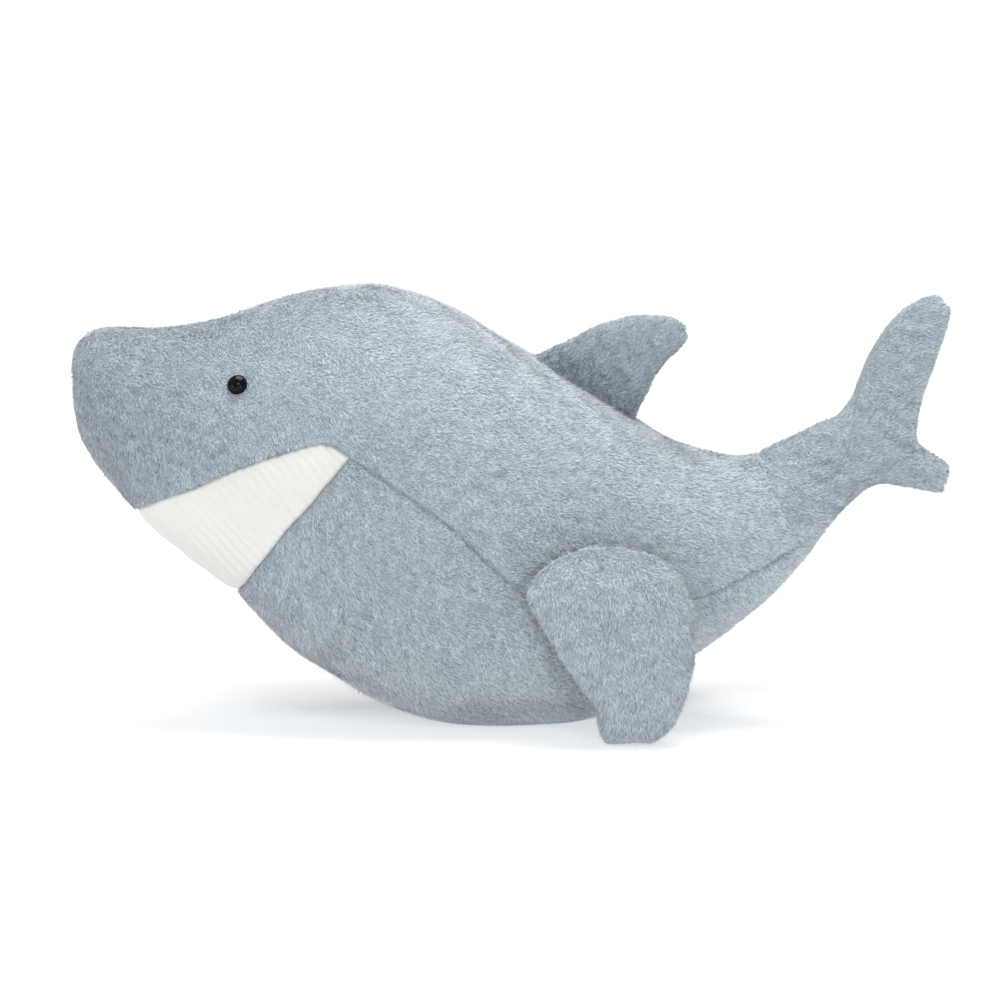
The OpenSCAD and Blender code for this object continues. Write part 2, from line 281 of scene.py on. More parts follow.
def side_edge(row):
    """Angle at which a side panel ends, at each row."""
    above = np.interp(row, LIP_ABOVE[::-1, 1], LIP_ABOVE[::-1, 0])
    behind = np.interp(row, SEAM_LINE[:, 0], SEAM_LINE[:, 1])
    part = np.clip((row - MOUTH_END_ROW) / (CORNER_ROW - MOUTH_END_ROW), 0, 1)
    corner = UPPER_LIP[0, 0] + (CORNER_ANGLE - UPPER_LIP[0, 0]) * part**END_ROUNDNESS
    edge = np.where(row < MOUTH_END_ROW, above, np.where(row < CORNER_ROW, corner, behind))
    return np.where(row < LIP_ROW, 180, edge)


def belly_edge(row):
    """Angle at which the belly panel begins, at each row."""
    below = np.interp(row, LIP_BELOW[::-1, 1], LIP_BELOW[::-1, 0])
    behind = np.interp(row, SEAM_LINE[:, 0], SEAM_LINE[:, 1])
    return np.where(row < CORNER_ROW, below, behind)


def round_end(part):
    """A rounded end's thickness, 0 at its very end and 1 where part is 1 and further in."""
    return np.sqrt(np.clip(1 - np.maximum(0, 1 - part) ** 2, 0, 1))


def fin_skin(fin, f, angle, face):
    """Points of one face of a fin: f from root to tip, angle from the front edge to the rear edge."""
    outline = fin["outline"]
    s = f * (len(outline) - 1)
    row = curve(outline, s)
    ahead = curve(outline, s + 0.05) - curve(outline, s - 0.05)
    n = unit(np.cross(row[..., -1, :] - row[..., 0, :], ahead[..., 0, :] + ahead[..., -1, :]))
    tip_part = np.clip((f - CORNERS_FROM) / (1 - CORNERS_FROM), 0, 1)
    narrowed = 1 - fin["corners"] * (1 - np.sqrt(1 - tip_part**2))
    position = 0.5 - 0.5 * narrowed * signed_pow(np.cos(np.radians(angle)), FULLNESS)
    middle = across(row, position * (outline.shape[1] - 1))
    root, tip = fin["rounding"]
    closing = round_end((1 - f) / tip)
    if root:
        closing = closing * np.maximum(THINNEST_ROOT, round_end(f / root))
    half = curve(fin["thickness"][:, None], s)[..., 0]
    half = half * np.maximum(0, np.sin(np.radians(angle))) ** FULLNESS * closing
    return middle + face * half[..., None] * n


def quads_of(index):
    """The four corners of each cell of a grid of point numbers."""
    return np.stack([index[:-1, :-1], index[1:, :-1], index[1:, 1:], index[:-1, 1:]], -1)


def new_object(name, points, corners, per_face, materials, face_materials=None):
    """A mesh object from points in mm and the corners of its faces, which all have as many sides."""
    mesh = bpy.data.meshes.new(name)
    mesh.vertices.add(len(points))
    mesh.vertices.foreach_set("co", (points * MM).astype(np.float32).ravel())
    count = len(corners) // per_face
    mesh.loops.add(len(corners))
    mesh.loops.foreach_set("vertex_index", corners.astype(np.int32))
    mesh.polygons.add(count)
    mesh.polygons.foreach_set("loop_start", np.arange(0, len(corners), per_face, dtype=np.int32))
    for material in materials:
        mesh.materials.append(material)
    if face_materials is not None:
        mesh.polygons.foreach_set("material_index", face_materials.astype(np.int32))
    mesh.update(calc_edges=True)
    mesh.validate()
    mesh.shade_smooth()
    made = bpy.data.objects.new(name, mesh)
    bpy.context.scene.collection.objects.link(made)
    return made


# ---------------------------------------------------------------------------------------------
# Stuffed fabric: lumps, seams and hollows
# ---------------------------------------------------------------------------------------------


def grid_normals(points, sign):
    """Normals of a grid of points, turned round where the sign is negative."""
    n = np.cross(np.gradient(points, axis=0), np.gradient(points, axis=1))
    return sign * unit(n)


def both_sides(points):
    """The points and their mirror images on the toy's other side."""
    return np.concatenate([points, points * [1, -1, 1]])


def line_tree(points):
    """The points, ready to be searched for the nearest."""
    tree = kdtree.KDTree(len(points))
    for i, p in enumerate(points):
        tree.insert(p, i)
    tree.balance()
    return tree


def distance(tree, points):
    """How far each point is from the nearest in the tree, in mm."""
    flat = points.reshape(-1, 3)
    return np.array([tree.find(p)[2] for p in flat]).reshape(points.shape[:-1])


def seam_points():
    """Points every millimetre or so along the sewn lines, deep ones and shallow ones."""
    rows = np.linspace(CORNER_ROW, TAIL_ROW, 500)
    side = body_skin(rows, side_edge(rows))
    lips = np.concatenate([body_skin(line[:, 1], line[:, 0]) for line in (LIP_ABOVE, LIP_BELOW)])
    end_rows = np.linspace(MOUTH_END_ROW, CORNER_ROW, 40)
    mouth_end = body_skin(end_rows, side_edge(end_rows))
    rows = np.linspace(NOSE_ROW, TAIL_ROW, 700)
    back = body_skin(rows, np.zeros(700))
    chin = body_skin(np.linspace(0.5, LIP_ROW, 120), np.full(120, 180.0))
    deep = both_sides(np.concatenate([side, lips, mouth_end]))
    shallow = both_sides(np.concatenate([back, chin]))
    return deep, shallow


DEEP_SEAMS, SHALLOW_SEAMS = (line_tree(points) for points in seam_points())
EYE = body_skin(np.array(EYE_ROW), np.array(float(EYE_ANGLE)))
MOUTH_CORNER = body_skin(np.array(CORNER_ROW), np.array(float(CORNER_ANGLE)))
BEHIND_FIN = np.array([60, 78, 96])
# The pile stands out of the fabric by about this much, so the fabric lies this much deeper.
PILE_HEIGHT = 0.3
# The fabric keeps this far above the floor.
FLOOR_GAP = 0.25


def fading(gap, reach):
    """1 at no distance, and nearly 0 from twice the reach on."""
    return np.exp(-((gap / reach) ** 2))


def from_pair(points, centre):
    """How far each point is from a centre or from its mirror image on the other side, in mm."""
    return np.linalg.norm(np.abs(points - centre * [1, 0, 1]) - [0, centre[1], 0], axis=-1)


def hollow(points, centre, radius, depth):
    """A round hollow at a point and at its mirror image on the other side."""
    return -depth * fading(from_pair(points, centre), radius)


# The simulated cloth's points along and round the body, how far one may move, how many frames it
# gets, and how many times its height is smoothed to find the broad swelling, which the form has.
CLOTH_ROWS, CLOTH_TURNS = 100, 96
MOST_SWELLING = 8
CLOTH_FRAMES = 20
SMOOTHINGS = 150


def sewn_weights(points):
    """How firmly the simulated cloth is held: by its seams, the pectoral fins, its two ends and the floor."""
    seams = fading(distance(DEEP_SEAMS, points), 4) + 0.5 * fading(distance(SHALLOW_SEAMS, points), 3)
    fin_root = line_tree(both_sides(np.linspace(*PECTORAL["outline"][0], 9)))
    fins = fading(distance(fin_root, points), 22)
    held = np.clip(seams + fins + step(6, 2, points[..., 2]), 0, 1)
    held[:4] = held[-3:] = 1
    return held


def swell(points, held):
    """The fabric after a cloth simulation: a grid of points closed round its second axis, under pressure."""
    rows, turns = points.shape[:2]
    index = np.arange(rows * turns).reshape(rows, turns)
    index = np.concatenate([index, index[:, :1]], 1)
    piece = new_object("cloth", points.reshape(-1, 3), quads_of(index).ravel(), 4, [])
    group = piece.vertex_groups.new(name="sewn")
    for i, weight in enumerate(held.ravel()):
        group.add([i], float(weight), "REPLACE")
    cloth = piece.modifiers.new("cloth", "CLOTH").settings
    cloth.quality = 5
    cloth.use_pressure = True
    cloth.uniform_pressure_force = 120
    cloth.mass = 0.002
    cloth.tension_stiffness = cloth.compression_stiffness = 5
    cloth.effector_weights.gravity = 0
    cloth.vertex_group_mass = group.name
    scene = bpy.context.scene
    for frame_number in range(1, CLOTH_FRAMES + 1):
        scene.frame_set(frame_number)
    result = piece.evaluated_get(bpy.context.evaluated_depsgraph_get())
    co = np.empty(3 * rows * turns, np.float32)
    result.data.vertices.foreach_get("co", co)
    scene.frame_set(1)
    mesh = piece.data
    bpy.data.objects.remove(piece)
    bpy.data.meshes.remove(mesh)
    return co.reshape(rows, turns, 3) / MM


def simulated_swelling():
    """Where the body's fabric swells or is held back under pressure, as a tree of points and heights."""
    rows = np.linspace(NOSE_ROW, TAIL_ROW, CLOTH_ROWS)
    row, turn = np.meshgrid(rows, np.linspace(0, 360, CLOTH_TURNS + 1), indexing="ij")
    mirror = np.stack([np.ones_like(turn), np.where(turn > 180, -1.0, 1.0), np.ones_like(turn)], -1)
    points = body_skin(row, np.where(turn > 180, 360 - turn, turn)) * mirror
    normals = grid_normals(points, RIGHT)[:, :-1]
    points = points[:, :-1]
    moved = swell(points, sewn_weights(points)) - points
    height = np.clip(np.sum(moved * normals, -1), -MOST_SWELLING, MOST_SWELLING)
    broad = height
    for _ in range(SMOOTHINGS):
        padded = np.concatenate([broad[:1], broad, broad[-1:]])
        around = np.roll(broad, 1, 1) + np.roll(broad, -1, 1)
        broad = (2 * broad + padded[:-2] + padded[2:] + around) / 6
    return line_tree(points.reshape(-1, 3)), (height - broad).ravel()


CLOTH_TREE, CLOTH_HEIGHT = simulated_swelling()


def swelling(points):
    """The simulated cloth's height at these points, between its four nearest points."""
    heights = []
    for point in points.reshape(-1, 3):
        near = CLOTH_TREE.find_n(point, 4)
        weights = [1 / (gap + 0.5) ** 2 for _, _, gap in near]
        heights.append(sum(w * CLOTH_HEIGHT[i] for w, (_, i, _) in zip(weights, near)) / sum(weights))
    return np.array(heights).reshape(points.shape[:-1])


def relief(points):
    """How far the stuffed fabric stands out of the plain form at these points, in mm.

    It has the lumps of its filling, except where it is drawn in: along its seams, round the eyes, at
    the corners of the mouth and behind the pectoral fins.
    """
    stuffing = 0.6 * waves(points, 42, 1) + 0.4 * waves(points, 15, 2) + swelling(points)
    deep, shallow = distance(DEEP_SEAMS, points), distance(SHALLOW_SEAMS, points)
    sewn = -0.8 * fading(deep, 5) - 1.5 * fading(deep, 0.9) - 0.2 * fading(shallow, 3)
    puckers = 0.3 * waves(points, 5, 3) * fading(deep, 7)
    eye = hollow(points, EYE, 9, 1.3) + hollow(points, EYE, 27, 1.5)
    face = eye + hollow(points, MOUTH_CORNER, 16, 1.6)
    behind_fin = hollow(points, BEHIND_FIN, 30, 4)
    calm = step(0, 12, points[..., 2]) * (1 + hollow(points, EYE, 14, 1))
    return (stuffing + puckers) * calm + sewn + face + behind_fin - PILE_HEIGHT


def fin_relief(points):
    """How far the fabric of a fin stands out of its plain form, in mm."""
    return 0.6 * waves(points, 22, 4) + 0.25 * waves(points, 8, 5) - PILE_HEIGHT


def along_tail(points):
    """0 where the tail meets the body and 1 from a few centimetres behind it."""
    return step(1, 30, (points - BODY_ROWS[TAIL_ROW, [0, 0, 1]] * [1, 0, 1]) @ STEM)


def tail_relief(points):
    """The body's bumps where the tail meets it, turning into the fins' bumps."""
    far = along_tail(points)
    joined = step(3.5, 0, points @ STEM - np.min(points @ STEM, axis=0))
    return relief(points) * (1 - far) + fin_relief(points) * far - 0.4 * joined


def stuffed(points, sign, bumps, inset=0):
    """The grid of points with its bumps, lifted off the floor, and its normals."""
    moved = points + (bumps(points) - inset)[..., None] * grid_normals(points, sign)
    moved[..., 2] = np.maximum(moved[..., 2], FLOOR_GAP + inset)
    return moved, grid_normals(moved, sign)


# ---------------------------------------------------------------------------------------------
# Meshes
# ---------------------------------------------------------------------------------------------


def grid_object(name, points, sign, material):
    """A mesh over a grid of points, with its faces turned round where the sign is negative."""
    m, n = points.shape[:2]
    quads = quads_of(np.arange(m * n).reshape(m, n))
    if sign < 0:
        quads = quads[..., ::-1]
    return new_object(name, points.reshape(-1, 3), quads.ravel(), 4, [material])


SEAM_ALLOWANCE = 2.5


def with_turned_edges(points, normals):
    """The grid with all four edges turned in behind the fabric, as in a seam allowance."""
    inner = points - SEAM_ALLOWANCE * normals
    points = np.concatenate([inner[:1], points, inner[-1:]], 0)
    ends = np.concatenate([inner[:1], inner, inner[-1:]], 0)
    return np.concatenate([ends[:, :1], points, ends[:, -1:]], 1)


def on_surface(direction, normals):
    """The part of a direction that lies along the surface."""
    return direction - normals * np.sum(direction * normals, -1, keepdims=True)


def nap(points, normals, wind, seed):
    """The way the pile lies at each point, along the skin, with small swirls."""
    swirl = np.stack([waves(points, 12, seed + k) for k in range(3)], -1)
    large = np.stack([waves(points, 45, seed + 3 + k) for k in range(3)], -1)
    plain = unit(on_surface(wind, normals))
    return unit(on_surface(plain + 0.3 * swirl + 0.2 * large, normals))


def body_wind(points):
    """Nap of the body: back along the flanks, and back and down the head and throat."""
    head = step(-30, -150, points[..., 0])[..., None]
    return (1 - head) * np.array([1, 0, -0.35]) + head * np.array([0.5, 0, -1])


def tail_wind(points):
    """Nap of the tail: as on the body at first, then out along the fins."""
    far = along_tail(points)[..., None]
    return (1 - far) * body_wind(points) + far * np.array([0.9, 0, 0.25])


def body_painted_light_and_shade(points):
    """Painted light and shade in the pile's tone: the snout darker, and the hump, the low belly and the rear
    lighter.
    """
    x, z = points[..., 0], points[..., 2]
    snout = 0.8 * step(-120, -220, x)
    hump = 0.4 * step(-200, -90, x) * step(130, 215, z)
    belly = 1.0 * step(75, 10, z)
    rear = 0.35 * step(20, 120, x)
    return snout - hump - belly - rear


def dorsal_painted_shade(points):
    """Painted shade on the dorsal fin: the whole fin a little darker, and darker still towards its base,
    where it meets the back.
    """
    front, rear = DORSAL["outline"][0]
    out_of_back = unit(np.array([front[2] - rear[2], 0, rear[0] - front[0]]))
    return 0.5 + 1.5 * step(22, 0, (points - front) @ out_of_back)


def scatter(points, normals, per_mm2, rng):
    """Random roots over a grid, evenly by area, with the normal at each."""
    a = points[1:, 1:] - points[:-1, :-1]
    b = points[1:, :-1] - points[:-1, 1:]
    area = np.linalg.norm(np.cross(a, b), axis=-1) / 2
    count = rng.poisson(area * per_mm2)
    i, j = (np.repeat(k.ravel(), count.ravel()) for k in np.indices(area.shape))
    u, v = rng.uniform(0, 1, (2, len(i), 1))

    def between(grid):
        near = grid[i, j] * (1 - v) + grid[i, j + 1] * v
        far = grid[i + 1, j] * (1 - v) + grid[i + 1, j + 1] * v
        return near * (1 - u) + far * u

    return between(points), unit(between(normals))


# Pile fibres for each square millimetre, their usual length and width, the share that stand up, the
# tones at which one shade gives way to the next, and how many fibres one mesh holds.
PILE_PER_MM2 = 1.7
PILE_LENGTH, PILE_WIDTH = 2.7, 0.44
UPRIGHT_SHARE = 0.22
SHADE_LIMITS = [-1.4, -0.85, -0.15, 0.6]
MOST_FIBRES = 60000
# No fibre grows this close to a deep seam, and none hangs lower than this.
BARE_SEAM = 0.5
LOWEST_FIBRE = 0.15


def fibre_strips(roots, out, along, side, sewn, rng):
    """Five points for each fibre: a strip that leans along the nap, bends half way and ends in a tip.

    Most fibres lie flat and a few stand up. They are shorter beside a seam and near the floor.
    """
    count = len(roots)
    length = PILE_LENGTH * rng.uniform(0.65, 1.25, (count, 1)) * (0.6 + 0.4 * step(0.8, 3, sewn))
    length *= 0.5 + 0.5 * step(0, 8, roots[:, 2:])
    width = PILE_WIDTH * rng.uniform(0.7, 1.35, (count, 1))
    upright = rng.uniform(0, 1, (count, 1)) < UPRIGHT_SHARE
    upright_lift, lying_lift = rng.uniform(40, 80, (count, 1)), rng.uniform(14, 36, (count, 1))
    lift = np.radians(np.where(upright, upright_lift, lying_lift))
    width *= np.where(upright, 0.55, 1)
    length *= np.where(upright, rng.uniform(0.5, 1.9, (count, 1)), 1)
    bend = lift * rng.uniform(0.1, 0.7, (count, 1))
    middle = roots + 0.5 * length * (np.cos(lift) * along + np.sin(lift) * out)
    tip = middle + 0.5 * length * (np.cos(bend) * along + np.sin(bend) * out)
    start = roots - 0.3 * out
    low, high = 0.5 * width * side, 0.42 * width * side
    strips = np.stack([start - low, start + low, middle - high, middle + high, tip], 1)
    strips[..., 2] = np.maximum(strips[..., 2], LOWEST_FIBRE)
    return strips


def pile(name, points, normals, wind, seed, hold, clear=None, dark=0.0):
    """Pile fibres over a skin, each in one of a few shades, in pieces of limited size."""
    rng = np.random.default_rng(seed)
    roots, out = scatter(points, normals, PILE_PER_MM2, rng)
    keep = distance(DEEP_SEAMS, roots) > BARE_SEAM
    if clear is not None:
        keep &= clear(roots)
    roots, out = roots[keep], out[keep]
    count = len(roots)
    along = nap(roots, out, wind(roots) if callable(wind) else np.array(wind), seed)
    across_nap = np.cross(out, along)
    along = unit(along + across_nap * rng.normal(0, 0.38, (count, 1)))
    side = unit(np.cross(out, along) + out * rng.normal(0, 0.12, (count, 1)))
    sewn = distance(DEEP_SEAMS, roots)[:, None]
    strips = fibre_strips(roots, out, along, side, sewn, rng)
    # The dark argument shifts the fibres' tone: painted light and shade on the body, painted shade on the
    # dorsal fin, and a little darker all over the tail.
    darker = dark(roots) if callable(dark) else dark
    tone = 0.35 * waves(roots, 4.5, seed + 9) + rng.normal(0, 0.75, count) - darker
    # Fibres within about a millimetre of a deep seam go into darker shades: painted shade along the seam's
    # groove.
    shade = np.digitize(tone - 1.4 * fading(sewn[:, 0], 1), SHADE_LIMITS)
    triangles = np.array([0, 3, 1, 0, 2, 3, 2, 4, 3])
    parts = max(1, math.ceil(count / MOST_FIBRES))
    for k, chosen in enumerate(np.array_split(np.argsort(roots[:, 0]), parts)):
        part_name = f"{name}_{k + 1}" if parts > 1 else name
        corners = 5 * np.arange(len(chosen))[:, None] + triangles
        shades = np.repeat(shade[chosen], 3)
        made = new_object(part_name, strips[chosen].reshape(-1, 3), corners.ravel(), 3, SHADES, shades)
        hold(made)


def on(body):
    """What makes a piece ride on this body."""
    return lambda piece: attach(piece, body)


def bending(piece):
    """A piece that reaches into the tail's bend keeps its place in world space, and any other rides on the
    body.
    """
    co = np.empty(3 * len(piece.data.vertices), np.float32)
    piece.data.vertices.foreach_get("co", co)
    if np.max((co.reshape(-1, 3) - BEND_START) @ STEM) > 0:
        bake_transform(piece)
    else:
        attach(piece, "body")


# ---------------------------------------------------------------------------------------------
# Materials
# ---------------------------------------------------------------------------------------------


def linear(r, g, b):
    """sRGB from 0 to 255 as linear RGBA."""
    c = np.array([r, g, b]) / 255
    return (*np.where(c <= 0.04045, c / 12.92, ((c + 0.055) / 1.055) ** 2.4), 1.0)


def new_material(name, **sockets):
    """A material, its node tree and its shader, with these values in the shader's sockets."""
    material = bpy.data.materials.new(name)
    material.use_nodes = True
    shader = material.node_tree.nodes["Principled BSDF"]
    for socket, value in sockets.items():
        shader.inputs[socket.replace("_", " ")].default_value = value
    return material, material.node_tree, shader


def node(tree, kind, **values):
    """A new node of this kind, with values for its sockets and its settings."""
    made = tree.nodes.new(kind)
    for key, value in values.items():
        if key in made.inputs:
            made.inputs[key].default_value = value
        else:
            setattr(made, key, value)
    return made


def ramp(tree, source, stops):
    """The colours that the source's value picks between these stops."""
    made = tree.nodes.new("ShaderNodeValToRGB")
    while len(made.color_ramp.elements) < len(stops):
        made.color_ramp.elements.new(0.5)
    for element, (position, colour) in zip(made.color_ramp.elements, stops):
        element.position = position
        element.color = colour
    tree.links.new(source, made.inputs["Fac"])
    return made.outputs["Color"]


def grey(value):
    """This value in all three channels."""
    return (value, value, value, 1)


def textured(name, size, stops, rough, bump, **sockets):
    """A material with procedural mottling of this size in mm, uneven roughness and fine bumps."""
    material, tree, shader = new_material(name, **sockets)
    place = node(tree, "ShaderNodeTexCoord")
    fine = node(tree, "ShaderNodeTexNoise", Scale=1 / (size * MM), Detail=4.0, Roughness=0.6)
    broad = node(tree, "ShaderNodeTexNoise", Scale=40.0, Detail=2.0)
    for texture in (fine, broad):
        tree.links.new(place.outputs["Object"], texture.inputs["Vector"])
    both = node(tree, "ShaderNodeMix", data_type="FLOAT")
    both.inputs["Factor"].default_value = 0.7
    tree.links.new(broad.outputs["Fac"], both.inputs["A"])
    tree.links.new(fine.outputs["Fac"], both.inputs["B"])
    tree.links.new(ramp(tree, both.outputs["Result"], stops), shader.inputs["Base Color"])
    roughness = ramp(tree, fine.outputs["Fac"], [(0.3, grey(rough[0])), (0.7, grey(rough[1]))])
    tree.links.new(roughness, shader.inputs["Roughness"])
    bumps = node(tree, "ShaderNodeBump", Strength=bump, Distance=size * 0.4 * MM)
    tree.links.new(fine.outputs["Fac"], bumps.inputs["Height"])
    tree.links.new(bumps.outputs["Normal"], shader.inputs["Normal"])
    return material


def fibre_shades(name, shades):
    """Plain materials for the pile, from dark to light. The mottling is in which fibre has which."""
    made = []
    for k, colour in enumerate(shades):
        material, _, _ = new_material(
            f"{name}_{k + 1}",
            Base_Color=linear(*colour),
            Roughness=0.85,
            Sheen_Weight=0.7,
            Sheen_Roughness=0.5,
            Specular_IOR_Level=0.25,
        )
        made.append(material)
    return made


# The backing is coloured a little darker than the pile: painted shade for the depth between the fibres.
FABRIC = textured(
    "pile_backing",
    2.2,
    [(0.3, linear(120, 132, 142)), (0.5, linear(143, 155, 164)), (0.7, linear(165, 176, 184))],
    (0.85, 0.98),
    0.5,
    Sheen_Weight=0.2,
    Specular_IOR_Level=0.25,
)
SHADES = fibre_shades(
    "pile", [(116, 127, 137), (144, 155, 164), (163, 174, 182), (181, 190, 197), (199, 207, 212)]
)
RIBBED = textured(
    "rib_knit",
    0.9,
    [(0.3, linear(203, 202, 197)), (0.6, linear(209, 208, 204)), (0.8, linear(213, 212, 208))],
    (0.8, 0.95),
    0.2,
    Sheen_Weight=0.15,
    Specular_IOR_Level=0.3,
)
EYE_PLASTIC = textured(
    "eye_plastic",
    3.0,
    [(0.4, (0.001, 0.001, 0.0015, 1)), (0.6, (0.002, 0.002, 0.003, 1))],
    (0.03, 0.06),
    0.01,
    Specular_IOR_Level=0.15,
)
WASHER_PLASTIC = textured(
    "washer_plastic", 0.6, [(0.4, linear(225, 224, 218)), (0.6, linear(234, 233, 228))], (0.45, 0.6), 0.15
)
FILLING = textured(
    "fibre_filling", 5.0, [(0.35, linear(232, 233, 233)), (0.65, linear(250, 250, 249))], (0.9, 1.0), 0.9
)
POUCH = textured(
    "pouch_cloth", 1.2, [(0.4, linear(205, 200, 188)), (0.6, linear(222, 218, 206))], (0.8, 0.95), 0.4
)


# ---------------------------------------------------------------------------------------------
# The pieces
# ---------------------------------------------------------------------------------------------


def finish_piece(cad_node):
    """Hides the node of the CAD that the piece stands for."""
    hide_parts(cad_node)


def clear_of_eye(roots):
    """Which roots are outside the eyes."""
    return from_pair(roots, EYE) > EYE_RADIUS - 0.2


def build_side(side):
    """A side panel, from the seam on the back to the mouth and the side seam."""
    name = "left" if side == LEFT else "right"
    # The rows are closer together over the nose.
    nose = np.linspace(0, 1, 26)[:-1] ** 1.5
    rows = np.concatenate([nose, np.linspace(1, TAIL_ROW, 290)])
    row, part = np.meshgrid(rows, np.linspace(0, 1, 120), indexing="ij")
    base = body_skin(row, part * side_edge(row)) * [1, side, 1]
    points, normals = stuffed(base, side, relief)
    skin = grid_object(f"side_skin_{name}", with_turned_edges(points, normals), side, FABRIC)
    finish_piece(f"side_panel_{name}")
    bending(skin)
    pile(f"side_pile_{name}", points, normals, body_wind, 11 + side, bending, clear_of_eye, body_painted_light_and_shade)


def off_floor(roots):
    """Which roots are not pressed against the floor."""
    return roots[:, 2] > 0.9


def build_belly():
    """The belly panel, from one side seam round under the body to the other."""
    row, part = np.meshgrid(np.linspace(6, TAIL_ROW, 230), np.linspace(-1, 1, 150), indexing="ij")
    edge = np.minimum(179, belly_edge(row))
    mirror = np.stack([np.ones_like(part), -np.sign(part), np.ones_like(part)], -1)
    base = body_skin(row, 180 - (180 - edge) * np.abs(part)) * mirror
    points, normals = stuffed(base, RIGHT, relief)
    skin = grid_object("belly_skin", with_turned_edges(points, normals), RIGHT, FABRIC)
    finish_piece("belly_panel")
    bending(skin)
    pile("belly_pile", points, normals, body_wind, 31, bending, off_floor, body_painted_light_and_shade)


# The ribs repeat this often along the toy, and move back this much for each millimetre down.
RIB_PITCH, RIB_SLANT = 6.4, 0.88
RIB_HEIGHT = 0.4


def ribs(points):
    """Height of the ribs of the mouth, which run down and to the rear and fade out in front."""
    x, z = points[..., 0], points[..., 2]
    shown = 0.1 + 0.9 * step(-205, -150, x)
    return RIB_HEIGHT * shown * np.cos(2 * math.pi * (x + RIB_SLANT * z) / RIB_PITCH)


def build_mouth():
    """The mouth, from one corner round under the nose to the other, between its two lips."""
    angles = np.linspace(UPPER_LIP[0, 0] + 0.2, 180, 300)
    angle, down = np.meshgrid(angles, np.linspace(0, 1, 110), indexing="ij")
    top = np.interp(angle, LIP_ABOVE[:, 0], LIP_ABOVE[:, 1])
    end = np.interp(angle, LIP_BELOW[:, 0], LIP_BELOW[:, 1])
    part = np.clip((angle - UPPER_LIP[0, 0]) / (CORNER_ANGLE - UPPER_LIP[0, 0]), 0, 1)
    blunt = MOUTH_END_ROW + (CORNER_ROW - MOUTH_END_ROW) * part ** (1 / END_ROUNDNESS)
    end = np.where(angle < CORNER_ANGLE, blunt, end)
    half = body_skin(top + (end - top) * down, angle)
    base = np.concatenate([half, half[-2::-1] * [1, -1, 1]], 0)
    points, normals = stuffed(base, LEFT, lambda p: relief(p) + ribs(p) + PILE_HEIGHT)
    skin = grid_object("mouth_skin", with_turned_edges(points, normals), LEFT, RIBBED)
    finish_piece("mouth_panel")
    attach(skin, "body")


def fin_grid(fin, face, steps, columns, root):
    """One face of a fin, its rows closer together at the tip and its root carried on into the body."""
    f = 1 - (1 - np.linspace(0, 1, steps)) ** 1.25
    f, angle = np.meshgrid(f, np.linspace(0, 180, columns), indexing="ij")
    points = fin_skin(fin, f, angle, face)
    if root is None:
        return points
    hidden = np.array([3, 2, 1])[:, None, None] * np.array(root, float) + points[:1]
    return np.concatenate([hidden, points], 0)


def build_fin(name, fin, face, mirror, root, size, wind, seed, hold, dark=0.0, bumps=fin_relief):
    """One panel of a fin: its face of the fin, as made for the left side or mirrored to the right."""
    base = fin_grid(fin, face, *size, root)
    sign = -face
    if mirror:
        base = base * [1, -1, 1]
        sign = -sign
    points, normals = stuffed(base, sign, bumps)
    skin = grid_object(f"{name}_skin", points, sign, FABRIC)
    finish_piece(f"{name}_panel")
    hold(skin)
    pile(f"{name}_pile", points[1:], normals[1:], wind, seed, hold, dark=dark)


def build_fins():
    """The panels of the dorsal fin, the pectoral fins and the tail, left ones before right ones."""
    up_back, down = [0.75, 0, 0.45], [0.15, 0, -1]
    into_back, into_flank = [-1.5, 0, -2.6], [0, 5, -0.6]
    dorsal_size, pectoral_size, tail_size = (70, 50), (110, 70), (130, 90)
    for mirror, name in ((False, "left"), (True, "right")):
        build_fin(
            f"dorsal_fin_{name}", DORSAL, LEFT, mirror, into_back, dorsal_size, up_back,
            51 + mirror, on("dorsal_fin"), dorsal_painted_shade,
        )
        for part, face, seed in (("outer", LEFT, 61), ("inner", RIGHT, 71)):
            build_fin(
                f"{name}_fin_{part}", PECTORAL, face, mirror, into_flank, pectoral_size, down,
                seed + mirror, on(f"{name}_fin"),
            )
        build_fin(
            f"tail_{name}", TAIL, LEFT, mirror, None, tail_size, tail_wind,
            81 + mirror, bending, 0.15, tail_relief,
        )


def eye_axes():
    """Three directions at an eye: along the head, up it and straight out of it."""
    step_row, step_angle = 0.03, 1.5
    ahead = body_skin(np.array(EYE_ROW + step_row), np.array(float(EYE_ANGLE)))
    round_head = body_skin(np.array(EYE_ROW), np.array(EYE_ANGLE + step_angle))
    out = unit(np.cross(ahead - EYE, round_head - EYE))
    east = unit(np.cross([0, 0, 1.0], out))
    return np.stack([east, np.cross(out, east), out])


def build_eyes():
    """Domed glossy eyes set into the hollows of the fabric, each with a rim that goes in behind it."""
    a, b = np.meshgrid(np.linspace(0, math.radians(88), 18), np.linspace(0, 2 * math.pi, 41), indexing="ij")
    east, north, out = np.sin(a) * np.cos(b), np.sin(a) * np.sin(b), np.cos(a)
    dome = np.stack([EYE_RADIUS * east, EYE_RADIUS * north, EYE_HEIGHT * out], -1)
    rim = dome[-1:] * [0.95, 0.95, 0] - [0, 0, 3]
    dome = np.concatenate([dome, rim], 0)
    axes = eye_axes()
    for side, name in ((LEFT, "left"), (RIGHT, "right")):
        points = dome @ axes + EYE - EYE_SUNK * axes[2]
        piece = grid_object(f"eye_dome_{name}", points * [1, side, 1], side, EYE_PLASTIC)
        finish_piece(f"eye_{name}")
        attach(piece, "body")


